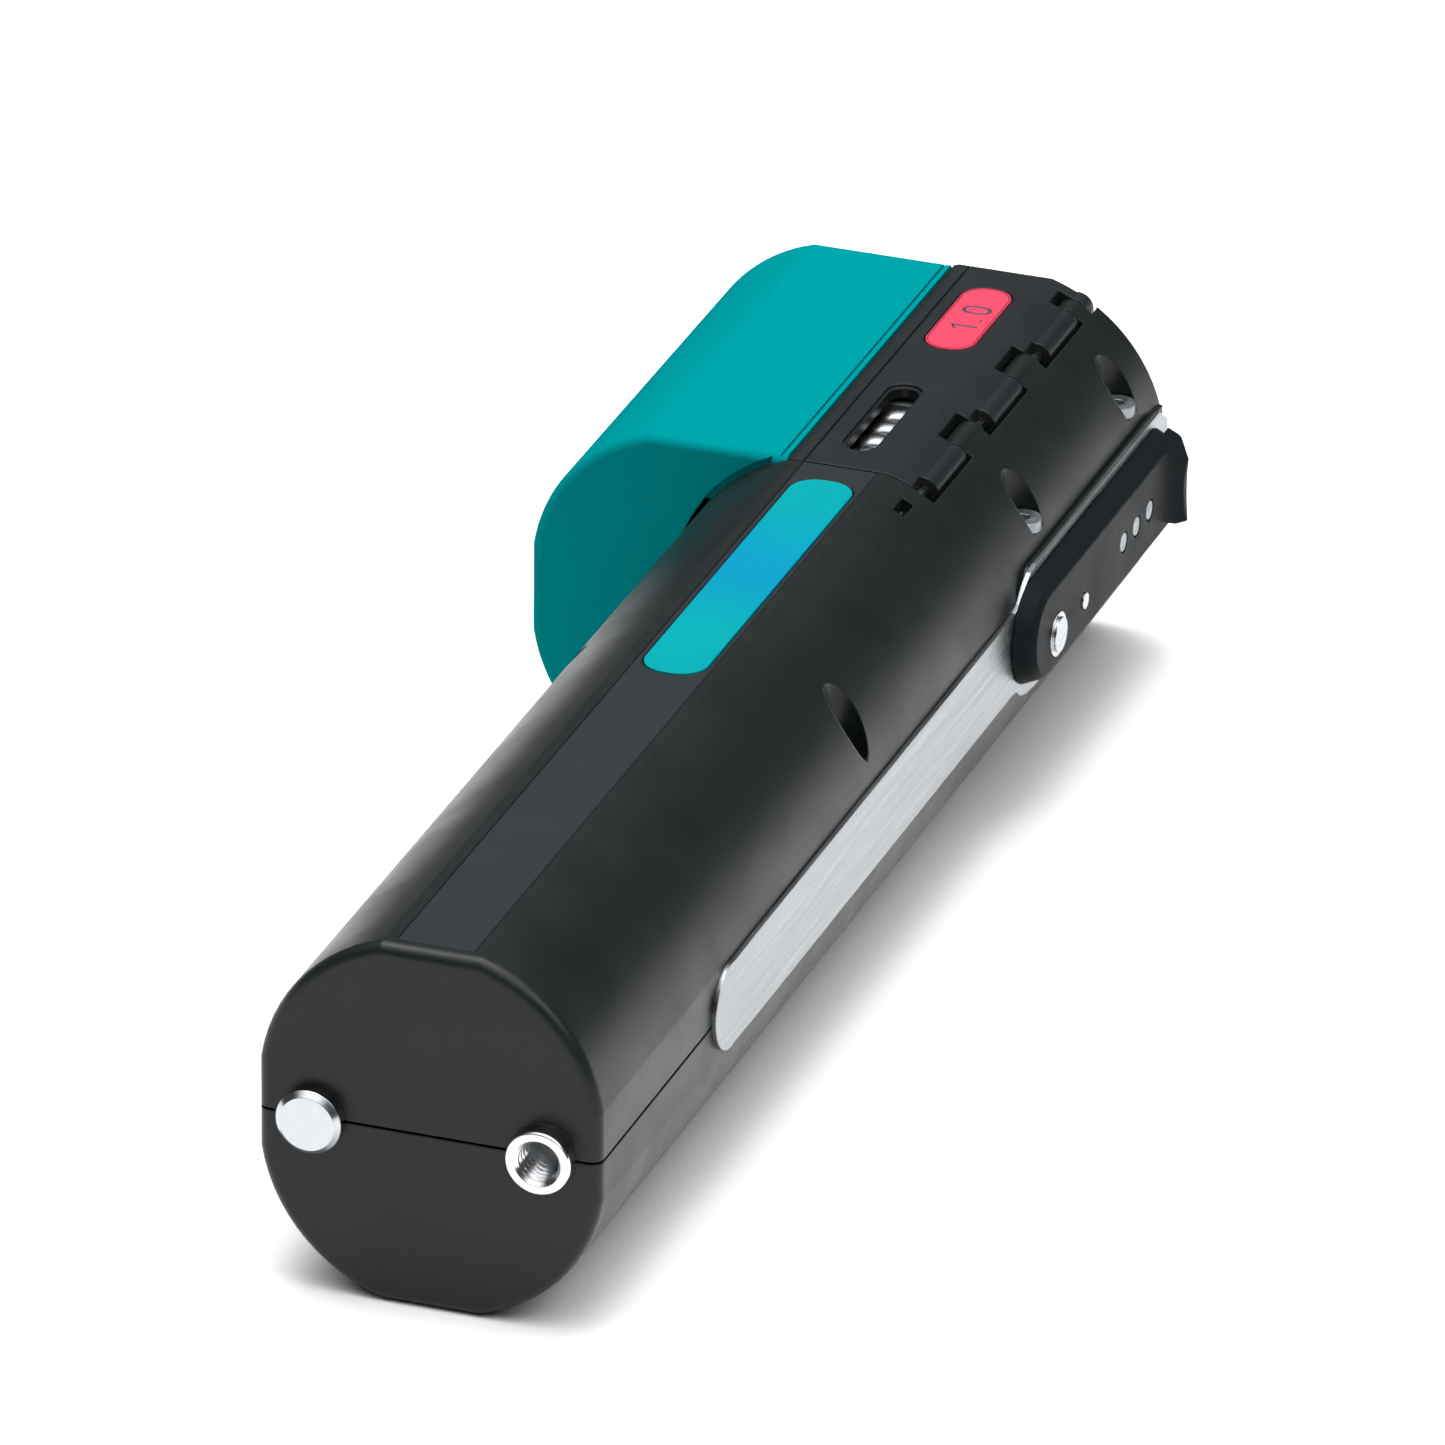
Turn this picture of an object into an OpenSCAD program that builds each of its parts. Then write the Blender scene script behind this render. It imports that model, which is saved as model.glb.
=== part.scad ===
// Hand-held battery wire stripping and crimping tool.
// Frame: origin at the middle of the near end face, +Y along the body to the wire
// entry, +X towards the lever, +Z up. All sizes are in millimetres.

/* [Body] */
// Width across the side flats
body_w = 57; // [56.6:0.2:57.4]
// Height across the top and bottom flats
body_h = 62.4; // [62:0.2:62.8]
// Length from end face to front edge
body_len = 275; // [274:0.5:276]
// Radius of the four large corners of the section
corner_r = 28.8; // [28.6:0.1:29]
// Height of the corner centres above and below the middle
corner_z = 3.6; // [3.4:0.1:3.8]
// Wall thickness of the shells
wall = 2.2; // [2:0.1:2.4]
// Height of the parting plane between the shells
parting_z = -0.7; // [-0.9:0.1:-0.5]
// Width of the visible seam at the parting plane
seam = 0.5; // [0.4:0.1:0.6]
// Rounding of the near rim
rim_r = 2; // [1.5:0.5:2.5]

/* [Head] */
// Where the hinged head cover starts
head_y = 191; // [190.8:0.2:191.2]
// How far the body steps in under the magazine
bay_step = 2; // [1.8:0.1:2.2]
// Gap around the head cover
cover_gap = 0.3; // [0.2:0.1:0.4]
// Radius of the cover's hinge barrels
hinge_r = 2.75; // [2.6:0.05:2.8]
// Spacing of the three hinge units along the body
hinge_pitch = 28.4; // [28:0.1:28.6]

/* [Magazine] */
// How far the magazine's section is shifted from the body's
mag_shift = 25.6; // [25.4:0.1:25.8]
// Far end of the magazine
mag_end = 274; // [273.5:0.5:274]
// Wall thickness of the magazine
mag_wall = 1.8; // [1.6:0.1:2]

/* [Lever] */
// Where the lever's pivot sits along the body
pivot_y = 206.5; // [206:0.5:207]
// Height of the lever's outer face from the middle of the body
lever_x = 33; // [32.8:0.1:33.4]

/* [Crimp drive] */
// Gear module of the planetary stage
gear_m = 0.6; // [0.6]
// Teeth on the motor pinion
sun_teeth = 12; // [12]
// Teeth on each planet gear
planet_teeth = 15; // [15]
// Travel of each crimp indenter
crimp_travel = 1.5; // [1.4:0.1:1.6]
// Turn of the crimp cam over that travel, in degrees
cam_turn = 50; // [50]

/* [Hidden] */
$fn = 64;
half_w = body_w / 2;
half_h = body_h / 2;

// Head cover and hinge
cover_left = -9.15;
bay_x = -9.35;
ledge_x = -7.5;
slot_x = 16.4;
hinge_x = 12.9;
hinge_z = 26.6;
hinge_y = [for (k = [0:2]) head_y + hinge_pitch * k];
slot_len = 19.3;
end_knuckle = [271.6, 274.6];
notch_len = 4.6;
pin_r = 1;
cover_edge = 10.3;

// Screws: x, y, seat height, pocket radius, head radius, shank radius
screws = [
    [24, 126.6, 8, 3.6, 3.2, 1.7], [24, 214, 14.1, 3.6, 3.2, 1.7],
    [24, 262.3, 14.1, 3.6, 3.2, 1.7], [-24, 126.6, 8, 3.6, 3.2, 1.7],
    [-21.8, 214, 12, 2.6, 2.3, 1.3], [-21.8, 262.3, 12, 2.6, 2.3, 1.3]
];
boss_wall = 1.3;
screw_end = -11;

// End contacts
contact_x = 19.2;
contact_r = 5.45;
contact_out = 3;
stud_r = 4.2;
thread_r = 3.3;

// Trim plate and lever
plate_x = half_w;
plate_t = 0.8;
lever_base = plate_x + plate_t + 0.1;
lip_x = lever_x + 2.6;
pivot_z = -0.5;
pivot_r = 3.8;
stub_r = 2.5;
stop_y = 220.2;
rivet_y = [240.2, 246.9, 253.7];
rivet_z = 1.4;
rivet_r = 1.85;
rivet_rim = 0.25;
rivet_sink = 0.5;

// Drive line: places along the body
motor_y = [90, 140];
gear_y = [140, 166];
sun_r = gear_m * sun_teeth / 2;
planet_r = gear_m * planet_teeth / 2;
ring_teeth = sun_teeth + 2 * planet_teeth;
planet_orbit = sun_r + planet_r;
shaft_r = 5;
plate_y = [183.5, 187.5];
race_y = [plate_y[0] + 0.2, plate_y[1] - 0.2];
cam_y = [208.5, 226];
cam_r = 15.3;
cam_high = 13.4;
cam_slope = crimp_travel / cam_turn;
crimp_r = 17.6;
rod_z = 23.2;
rod_r = 2.3;
spring_y = [196.6, 223.4];
spring_r = 4.1;
spring_thick = 1.3;
spring_wide = 2.2;
spring_pitch = 5.3;
spring_start = 46.5;
brake_wire = 0.5;
feed_z = -8.8;
block_y = [255.5, 261];
blade_y = [257, 259];

// Magazine and spool
mag_y = head_y + 0.3;
mag_edge = bay_x - 0.1;
mag_inner = -mag_shift - half_w + mag_wall;
spool_y = 229;
spool_x = [-44.2, -29.6];
spool_r = 21.6;
outlet_y = [235, 248.6];
outlet_z = [-5.4, 4.4];

// ---------- helpers ----------
module block(x, y, z) {
    translate([x[0], y[0], z[0]]) cube([x[1] - x[0], y[1] - y[0], z[1] - z[0]]);
}
module along_y(y0, y1) {
    translate([0, y1, 0]) rotate([90, 0, 0]) linear_extrude(y1 - y0) children();
}
module along_x(x0, x1) {
    translate([x0, 0, 0]) rotate([90, 0, 90]) linear_extrude(x1 - x0) children();
}
module rod_along_y(x, z, r, y) {
    along_y(y[0], y[1]) translate([x, z]) circle(r);
}
module rod_along_x(y, z, r, x) {
    along_x(x[0], x[1]) translate([y, z]) circle(r);
}
module rod_along_z(x, y, r, z) {
    translate([x, y, z[0]]) cylinder(r = r, h = z[1] - z[0]);
}
module tube_along_y(x, z, r_out, r_in, y) {
    along_y(y[0], y[1]) translate([x, z]) difference() {
        circle(r_out);
        circle(r_in);
    }
}

// The body's section in X and Z, taken in by inset
module oval(inset = 0) {
    r = corner_r - inset;
    intersection() {
        union() {
            translate([0, corner_z]) circle(r, $fn = 128);
            translate([0, -corner_z]) circle(r, $fn = 128);
            square([2 * r, 2 * corner_z], center = true);
        }
        square([body_w - 2 * inset, body_h - 2 * inset], center = true);
    }
}

// A slab profile from y0 to y1, with its ends' corners rounded by r0 and r1
module soft_profile(half, y0, y1, r0, r1) {
    translate([-half, y0 + r0]) square([2 * half, y1 - y0 - r0 - r1]);
    translate([-half + r0, y0]) square([2 * (half - r0), r0 + 0.01]);
    translate([-half + r1, y1 - r1 - 0.01]) square([2 * (half - r1), r1 + 0.01]);
    for (s = [-1, 1]) {
        translate([s * (half - r0), y0 + r0]) circle(r0);
        translate([s * (half - r1), y1 - r1]) circle(r1);
    }
}

// The body's section run along Y, with rounded rims
module soft_form(y0, y1, r0, r1) {
    intersection() {
        union() {
            for (s = [-1, 1])
                translate([0, 0, s * corner_z]) rotate([-90, 0, 0])
                    rotate_extrude($fn = 128) intersection() {
                        soft_profile(corner_r, y0, y1, r0, r1);
                        translate([0, y0 - 1]) square([corner_r + 1, y1 - y0 + 2]);
                    }
            translate([0, 0, -corner_z]) linear_extrude(2 * corner_z)
                soft_profile(corner_r, y0, y1, r0, r1);
        }
        translate([0, 0, -half_h - 5]) linear_extrude(body_h + 10)
            soft_profile(half_w, y0, y1, r0, r1);
        along_x(-half_w - 5, half_w + 5) rotate(90) mirror([0, 1])
            soft_profile(half_h, y0, y1, r0, r1);
    }
}

function on_circle(r, a) = [r * cos(a), r * sin(a)];
// Outline of a straight-flanked gear; fat widens the teeth for cutting a ring
function gear_outline(teeth, root, tip, fat) = [
    for (i = [0:teeth - 1])
        let (a = 360 / teeth * i, h = 90 / teeth)
        for (p = [[root, -1.15], [(root + tip) / 2, -0.8], [tip, -0.42],
                  [tip, 0.42], [(root + tip) / 2, 0.8], [root, 1.15]])
            on_circle(p[0], a + h * (p[1] + sign(p[1]) * fat))
];
module gear(teeth) {
    r = gear_m * teeth / 2;
    polygon(gear_outline(teeth, r - 1.15 * gear_m, r + 0.9 * gear_m, 0));
}

// A wire wound about the Y axis, thick across and wide along (half sizes)
module coil(r, thick, wide, pitch, turns, sides = 8, steps = 20) {
    rings = turns * steps;
    points = [
        for (i = [0:rings])
            let (a = 360 * i / steps)
            for (j = [0:sides - 1])
                let (b = 360 * j / sides, q = r + thick * cos(b))
                [q * cos(a), pitch * i / steps + wide * sin(b), q * sin(a)]
    ];
    faces = concat(
        [[for (j = [0:sides - 1]) j]],
        [for (i = [0:rings - 1], j = [0:sides - 1])
            let (n = (j + 1) % sides)
            [i * sides + j, (i + 1) * sides + j, (i + 1) * sides + n, i * sides + n]],
        [[for (j = [sides - 1:-1:0]) rings * sides + j]]
    );
    polyhedron(points, faces, convexity = 6);
}

// ---------- shells ----------
// Inside of the shells in the head: stepped in on the magazine's side
module head_section(step) {
    oval(wall + bay_step + step);
    intersection() {
        oval(wall + step);
        translate([ledge_x, -half_h]) square([half_w + 10, body_h]);
    }
}

module shell_cavity() {
    along_y(wall, head_y - 3) oval(wall);
    along_y(head_y - 3.01, body_len + 1) head_section(0);
}

module bay_cut() {
    along_y(head_y, body_len + 1) difference() {
        translate([-half_w - 5, -half_h - 5]) square([half_w + 5 + bay_x, body_h + 10]);
        oval(bay_step);
    }
    for (s = [-1, 1])
        block([-11.9, -10.1], [head_y, body_len + 1], s > 0 ? [26.9, 32] : [-32, -26.9]);
}

module lever_pad() {
    along_x(24, plate_x) difference() {
        polygon([
            [201, -9], [203, -9.9], [body_len - 1.5, -9.9], [body_len - 1.5, 11.5],
            [205, 11.5], [201, 9.4]
        ]);
        translate([202, parting_z - seam / 2]) square([body_len, seam]);
    }
}

module boss_columns(z) {
    for (s = screws) rod_along_z(s[0], s[1], s[3] + boss_wall, z);
}

module shell_holes() {
    // Side shaft of the lever
    rod_along_x(pivot_y, pivot_z, stub_r + 0.06, [18, 30]);
    // Belt outlet
    block([-30, -20], [235, 248.4], [-5.2, 4.2]);
    // End contacts
    rod_along_y(contact_x, parting_z, contact_r + 0.02, [-1, 6]);
    rod_along_y(-contact_x, parting_z, stud_r + 0.02, [-1, 6]);
}

module shell_knuckles() {
    for (k = [0:2]) {
        y0 = hinge_y[k] + slot_len;
        y1 = k < 2 ? hinge_y[k + 1] - 0.1 : end_knuckle[0] - 0.3;
        rod_along_y(hinge_x, hinge_z, hinge_r, [y0, y1]);
        intersection() {
            block([hinge_x, slot_x + 0.5], [y0, y1], [hinge_z - hinge_r, half_h]);
            along_y(y0, y1) oval(0);
        }
    }
}

module upper_shell() {
    top = parting_z + seam / 2;
    color([0.11, 0.13, 0.13]) difference() {
        union() {
            difference() {
                union() {
                    intersection() {
                        soft_form(0, body_len, rim_r, 1);
                        block([-40, 40], [-5, body_len + 5], [top, 40]);
                    }
                    intersection() {
                        lever_pad();
                        block([0, 40], [190, body_len], [top, 40]);
                    }
                }
                shell_cavity();
                bay_cut();
                // Room for the head cover
                block([ledge_x, slot_x], [head_y, body_len + 1], [20, 40]);
                along_y(head_y, body_len + 1) difference() {
                    translate([bay_x, 20]) square([3, 20]);
                    oval(wall + 0.2);
                }
            }
            intersection() {
                boss_columns([top, 30]);
                union() {
                    along_y(3, head_y - 3) oval(0.6);
                    along_y(head_y - 3.01, body_len - 5) head_section(-1.6);
                }
            }
            shell_knuckles();
        }
        shell_holes();
        for (s = screws) {
            rod_along_z(s[0], s[1], s[3], [s[2], 40]);
            rod_along_z(s[0], s[1], s[5] + 0.3, [-2, s[2] + 1]);
        }
        rod_along_y(hinge_x, hinge_z, pin_r + 0.01, [head_y - 0.5, body_len - 1.5]);
        // Recess of the top inlay and the light opening of the window
        block([-6.3, 6.6], [3, head_y + 1], [half_h - 0.7, half_h + 1]);
        block([-4, 4.5], [110, 182.5], [20, half_h + 1]);
        // Small pocket beside the hinge line
        block([12.3, 14.4], [181.8, 186.6], [27, 31]);
        shell_relief();
    }
}

// Rabbet in the upper shell for the lower shell's lip
module shell_relief() {
    along_y(wall + 8, head_y - 3) intersection() {
        oval(1.1);
        translate([-half_w, -2]) square([body_w, 4]);
    }
}

module lower_shell() {
    top = parting_z - seam / 2;
    color([0.11, 0.13, 0.13]) difference() {
        union() {
            difference() {
                union() {
                    intersection() {
                        soft_form(0, body_len, rim_r, 1);
                        block([-40, 40], [-5, body_len + 5], [-40, top]);
                    }
                    intersection() {
                        lever_pad();
                        block([0, 40], [190, body_len], [-40, top]);
                    }
                }
                shell_cavity();
                bay_cut();
            }
            intersection() {
                boss_columns([-30, top]);
                union() {
                    along_y(3, head_y - 3) oval(0.6);
                    along_y(head_y - 3.01, body_len - 5) head_section(-1.6);
                }
            }
            // Lip that closes the seam from inside
            along_y(wall + 8.2, head_y - 3.2) intersection() {
                difference() {
                    oval(1.25);
                    oval(wall);
                }
                translate([-half_w, top - 2]) square([body_w, 3.6]);
            }
        }
        shell_holes();
        for (s = screws) rod_along_z(s[0], s[1], s[5] + 0.03, [screw_end - 1, 1]);
    }
}

module case_screws() {
    color([0.78, 0.79, 0.8]) for (s = screws) difference() {
        union() {
            rod_along_z(s[0], s[1], s[4], [s[2], s[2] + 0.6 * s[4]]);
            rod_along_z(s[0], s[1], s[5], [screw_end, s[2] + 0.1]);
        }
        translate([s[0], s[1], s[2] + 0.2 * s[4]])
            cylinder(r = 0.42 * s[4], h = 5, $fn = 6);
    }
}

// ---------- outside pieces ----------
module stadium(y, half, r, x_mid = 0) {
    translate([x_mid - half, y[0] + r]) square([2 * half, y[1] - y[0] - 2 * r]);
    for (e = [y[0] + r, y[1] - r]) {
        if (half > r) {
            translate([x_mid - half + r, e - r]) square([2 * (half - r), 2 * r]);
            for (s = [-1, 1]) translate([x_mid + s * (half - r), e]) circle(r);
        } else translate([x_mid, e]) circle(r);
    }
}

module top_inlay() {
    color([0.22, 0.24, 0.25]) difference() {
        block([-6.2, 6.5], [3.1, head_y - 0.1], [half_h - 0.65, half_h - 0.05]);
        translate([0, 0, 20]) linear_extrude(20) stadium([107.2, 185.3], 5.65, 4.8, 0.25);
    }
}

module status_window() {
    color([0, 0.7, 0.72]) {
        translate([0, 0, half_h - 0.65]) linear_extrude(0.75)
            stadium([107.5, 185], 5.35, 4.6, 0.25);
        block([-3.8, 4.3], [112, 180.5], [half_h - 2.2, half_h - 0.6]);
    }
}

module plate_outline() {
    polygon([
        [57.5, 7.2], [70, 7.4], [195.6, 7.4], [198, 8.1], [200.4, 10.2], [203, 11.5],
        [206, 11.9], [body_len - 5.5, 12], [body_len - 1, 9], [body_len - 1, -8],
        [body_len - 5, -10.3], [206, -10.3], [201.5, -9.9], [198.6, -8.9], [196.6, -7.4],
        [194.6, -7.1], [70, -7.3], [57.5, -7.1]
    ]);
}

module side_plate() {
    color([0.68, 0.7, 0.71]) difference() {
        union() {
            along_x(plate_x, plate_x + plate_t) plate_outline();
            rod_along_x(58.3, 0.05, 7.35, [plate_x, plate_x + plate_t]);
        }
        rod_along_x(pivot_y, pivot_z, stub_r + 0.06, [18, 40]);
    }
}

module front_plate() {
    color([0.13, 0.15, 0.15]) difference() {
        along_y(270.5, 273.5) intersection() {
            head_section(0.1);
            translate([-40, -40]) square([80, 62.8]);
        }
        rod_along_y(0, 0, 7, [260, 280]);
    }
}

module wire_funnel() {
    color([0.6, 0.62, 0.63]) rotate([-90, 0, 0]) rotate_extrude() polygon([
        [3.5, 268.6], [6.9, 268.6], [6.9, 273.5], [9, 273.5], [9, 274.6], [8.6, 275],
        [6.6, 275], [3.5, 271]
    ]);
}

module hinge_pin() {
    color([0.6, 0.61, 0.62]) rod_along_y(hinge_x, hinge_z, pin_r, [head_y + 0.5, 273.4]);
}

module contact_stud() {
    color([0.85, 0.86, 0.87]) translate([-contact_x, 0, parting_z]) rotate([-90, 0, 0])
        rotate_extrude() polygon([
            [0, -contact_out], [contact_r - 0.9, -contact_out],
            [contact_r, -contact_out + 0.9], [contact_r, -0.02], [stud_r, -0.02],
            [stud_r, 4], [3, 4], [3, 9], [0, 9]
        ]);
}

module charge_bush() {
    color([0.8, 0.81, 0.82]) translate([contact_x, 0, parting_z]) rotate([-90, 0, 0])
        rotate_extrude() polygon([
            [thread_r + 0.5, -contact_out], [contact_r - 0.5, -contact_out],
            [contact_r, -contact_out + 0.5], [contact_r, 4], [4.6, 4], [4.6, 9], [0, 9],
            [0, 8], [thread_r, 8], [thread_r, -contact_out + 0.5]
        ]);
}

// ---------- battery and electronics ----------
cell_r = 9.15;
cell_spots = [for (a = [90, 210, 330]) on_circle(10.8, a)];
bar_spots = [for (a = [30, 150, 270]) on_circle(17.8, a)];

module battery_cells() {
    color([0.15, 0.4, 0.6]) for (p = cell_spots) {
        rod_along_y(p[0], p[1], cell_r, [16, 80]);
        rod_along_y(p[0], p[1], 3, [79.9, 81]);
    }
}

module battery_cradle() {
    color([0.2, 0.2, 0.2]) {
        rod_along_y(0, 0, 22.5, [13, 15]);
        rod_along_y(0, 0, 22.5, [82, 84]);
        for (p = bar_spots) rod_along_y(p[0], p[1], 2.2, [14.9, 82.1]);
    }
}

module battery_contacts() {
    color([0.8, 0.7, 0.4]) for (p = cell_spots) {
        rod_along_y(p[0], p[1], 6, [15.05, 15.9]);
        rod_along_y(p[0], p[1], 4, [81.1, 81.9]);
    }
}

module circuit_board() {
    color([0.05, 0.35, 0.2]) {
        block([-11, 11], [88, 182], [23, 24.6]);
        block([-8, -1], [94, 103], [24.5, 26]);
        block([2, 8], [92, 100], [24.5, 25.8]);
        block([-7, 7], [86, 90.5], [20, 23.1]);
    }
}

module indicator_leds() {
    color([0.95, 0.95, 0.9]) for (i = [0:4])
        block([-1.4, 1.4], [116 + 14 * i, 119 + 14 * i], [24.65, 26.2]);
}

// ---------- drive ----------
module motor() {
    color([0.7, 0.71, 0.72]) difference() {
        union() {
            rod_along_y(0, 0, 13.8, motor_y);
            rod_along_y(0, 0, 5, [motor_y[0] - 3, motor_y[0] + 0.1]);
            for (s = [-1, 1])
                block([s * 6 - 1, s * 6 + 1], [motor_y[0] - 4, motor_y[0] + 0.1], [-0.3, 0.3]);
        }
        rod_along_y(0, 0, 1.56, [motor_y[1] - 20, motor_y[1] + 1]);
    }
}

module gearbox_housing() {
    root = gear_m * ring_teeth / 2;
    color([0.55, 0.56, 0.58]) {
        difference() {
            rod_along_y(0, 0, 15, [gear_y[0] + 0.02, gear_y[1]]);
            along_y(144, 158)
                polygon(gear_outline(ring_teeth, root - 0.9 * gear_m, root + 1.15 * gear_m, 0.35));
            rod_along_y(0, 0, 12.4, [158, 164]);
            rod_along_y(0, 0, shaft_r + 0.06, [163, gear_y[1] + 1]);
            rod_along_y(0, 0, 4.4, [gear_y[0] - 1, 145]);
        }
    }
}

module motor_pinion() {
    color([0.75, 0.76, 0.77]) {
        rod_along_y(0, 0, 1.5, [motor_y[1] - 18, 156.5]);
        along_y(146, 156) gear(sun_teeth);
    }
}

// Planet gears sit on the carrier's pins, in mesh with the pinion and the ring
module planet_gear(i) {
    color([0.72, 0.66, 0.45]) along_y(146, 156)
        rotate(120 * i) translate([planet_orbit, 0]) difference() {
            gear(planet_teeth);
            circle(1.26);
        }
}

module planet_carrier() {
    color([0.6, 0.61, 0.62]) {
        rod_along_y(0, 0, 11.8, [158.4, 161.4]);
        for (i = [0:2]) {
            p = on_circle(planet_orbit, 120 * i);
            rod_along_y(p[0], p[1], 1.2, [145.6, 158.5]);
        }
        rod_along_y(0, 0, shaft_r, [161.3, cam_y[0]]);
        rod_along_y(0, 0, 2.15, [cam_y[0] - 0.1, 210.9]);
    }
}

module bearing_plate() {
    color([0.25, 0.27, 0.28]) difference() {
        along_y(plate_y[0], plate_y[1]) oval(wall + 0.05);
        rod_along_y(0, 0, 8.01, [plate_y[0] - 1, plate_y[1] + 1]);
        rod_along_y(0, rod_z, rod_r + 0.01, [plate_y[0] - 1, plate_y[1] + 1]);
    }
}

module shaft_bearing() {
    color([0.8, 0.81, 0.83]) {
        tube_along_y(0, 0, 8, 6.9, race_y);
        tube_along_y(0, 0, 6.2, shaft_r + 0.04, race_y);
        tube_along_y(0, 0, 7, 6.1, [race_y[0] + 1, race_y[1] - 1]);
    }
}

module crimp_housing() {
    color([0.5, 0.52, 0.54]) difference() {
        union() {
            rod_along_y(0, 0, crimp_r, [207.5, 232]);
            block([-3.2, 3.2], [229, 232], [10, 27]);
            block([-7, 7], [224, 232], [-28.9, -10]);
        }
        rod_along_y(0, 0, 15.6, [207, 228]);
        rod_along_y(0, 0, 3, [220, 240]);
        rod_along_y(0, rod_z, rod_r + 0.01, [220, 240]);
    }
}

module die_guide() {
    color([0.62, 0.63, 0.65]) difference() {
        rod_along_y(0, 0, 11.2, [211.8, 227.98]);
        rod_along_y(0, 0, 2, [200, 240]);
        for (i = [0:3]) rotate([0, 90 * i, 0]) block([1, 13], [211, 225.5], [-1.56, 1.56]);
    }
}

// Cam ring: four lobes that fall from high to low as the ring turns
function cam_radius(a) = cam_high - cam_slope * min(max(a, -6), 62);
module crimp_cam() {
    color([0.66, 0.6, 0.42]) {
        difference() {
            rod_along_y(0, 0, cam_r, cam_y);
            along_y(211, cam_y[1] + 1)
                polygon([for (q = [0:3], a = [-12:6:72]) on_circle(cam_radius(a), 90 * q + a)]);
            rod_along_y(0, 0, 2.2, [200, 230]);
        }
    }
}

module indenter(i) {
    color([0.8, 0.81, 0.82]) rotate([0, -90 * i, 0]) union() {
        block([4.5, 12.8], [213, 225], [-1.5, 1.5]);
        along_y(213, 225) polygon([[4.6, -1.5], [4.6, 1.5], [2.2, 0.5], [2.2, -0.5]]);
    }
}

// ---------- strip unit ----------
module guide_rod() {
    color([0.75, 0.76, 0.78]) {
        rod_along_y(0, rod_z, rod_r, [184.5, 231.8]);
        rod_along_y(0, rod_z, 4.7, [194.5, 196.5]);
    }
}

module return_spring() {
    turns = (spring_y[1] - spring_y[0] - 2 * spring_wide) / spring_pitch;
    color([0.8, 0.81, 0.83])
        translate([0, spring_y[0] + spring_wide, rod_z]) mirror([1, 0, 0])
            rotate([0, -spring_start, 0])
                coil(spring_r, spring_thick, spring_wide, spring_pitch, floor(turns * 20) / 20, 12);
}

module strip_carriage() {
    color([0.35, 0.37, 0.4]) difference() {
        union() {
            block([-5.5, 9], [spring_y[1] + 0.5, 228], [19.2, 28]);
            block([4, 9], [227.9, block_y[1]], [19.2, 21]);
            block([4, 8], [block_y[0], block_y[1]], [15.4, 19.3]);
            block([-8, 8], block_y, [-15.5, 15.5]);
        }
        rod_along_y(0, rod_z, rod_r + 0.08, [220, 230]);
        rod_along_y(0, 0, 3.2, [250, 265]);
        block([-4.1, 4.1], [blade_y[0] - 0.1, blade_y[1] + 0.1], [-17, 15.6]);
    }
}

module strip_blade(s) {
    color([0.82, 0.83, 0.85]) mirror([0, 0, s < 0 ? 1 : 0])
        along_y(blade_y[0], blade_y[1])
            polygon([[-4, 14], [-4, 4], [-2.6, 2.5], [-1.2, 2.5], [0, 3.7], [1.2, 2.5],
                     [2.6, 2.5], [4, 4], [4, 14]]);
}

module start_flap() {
    color([0.7, 0.71, 0.72]) difference() {
        union() {
            block([-2, 2], [265.6, 266.4], [-2, 8]);
            rod_along_x(266, 8.5, 1.6, [-4, 4]);
        }
        rod_along_x(266, 8.5, 0.86, [-5, 5]);
    }
}

module start_switch() {
    color([0.1, 0.1, 0.12]) {
        difference() {
            block([-6, 6], [262.6, 269], [10.6, 17]);
            block([-7, 7], [262, 264], [10, 12]);
        }
        for (s = [-1, 1]) block(s > 0 ? [4.4, 6] : [-6, -4.4], [264.5, 267.5], [6, 10.7]);
        rod_along_x(266, 8.5, 0.8, [-4.5, 4.5]);
        block([-6, 6], [268.9, 270.4], [8, 17]);
    }
}

// ---------- ferrule feed ----------
module belt_guide() {
    color([0.3, 0.32, 0.34]) difference() {
        union() {
            block([-25.6, -8.5], [235.2, 248.2], [-5, 4]);
            for (y = [[235.2, 235.9], [247.5, 248.2]]) block([-8.6, 4], y, [-12, -3]);
        }
        block([-30, -5], [236, 247.4], [-4.2, 3.2]);
        rod_along_y(0, feed_z, 1.22, [230, 250]);
    }
}

module ferrule_belt() {
    color([0.85, 0.3, 0.35]) {
        block([-25, 8], [236.4, 247], [-2, -1.1]);
        for (x = [-24:4:4]) difference() {
            rod_along_y(x, 0, 1.25, [236.6, 246.8]);
            rod_along_y(x, 0, 0.8, [236, 248]);
        }
    }
}

module feed_sprocket() {
    color([0.75, 0.76, 0.4]) along_y(237.4, 246) translate([0, feed_z]) difference() {
        polygon(gear_outline(12, 5.2, 6.5, 0));
        circle(1.26);
    }
}

module sprocket_axle() {
    color([0.7, 0.71, 0.72]) rod_along_y(0, feed_z, 1.2, [235.2, 248.2]);
}

module feed_solenoid() {
    color([0.5, 0.45, 0.2]) difference() {
        union() {
            block([-17, -8.6], [237.6, 244.8], [-19.4, -13]);
            block([-12, -8.6], [238.5, 244], [-24.8, -19.3]);
        }
        rod_along_x(241.2, -17, 1.06, [-14, 0]);
    }
}

module feed_plunger() {
    color([0.8, 0.81, 0.82]) {
        rod_along_x(241.2, -17, 1, [-13.4, -3]);
        block([-3.1, -1.4], [239.6, 242.8], [-18, -15.9]);
    }
}

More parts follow.
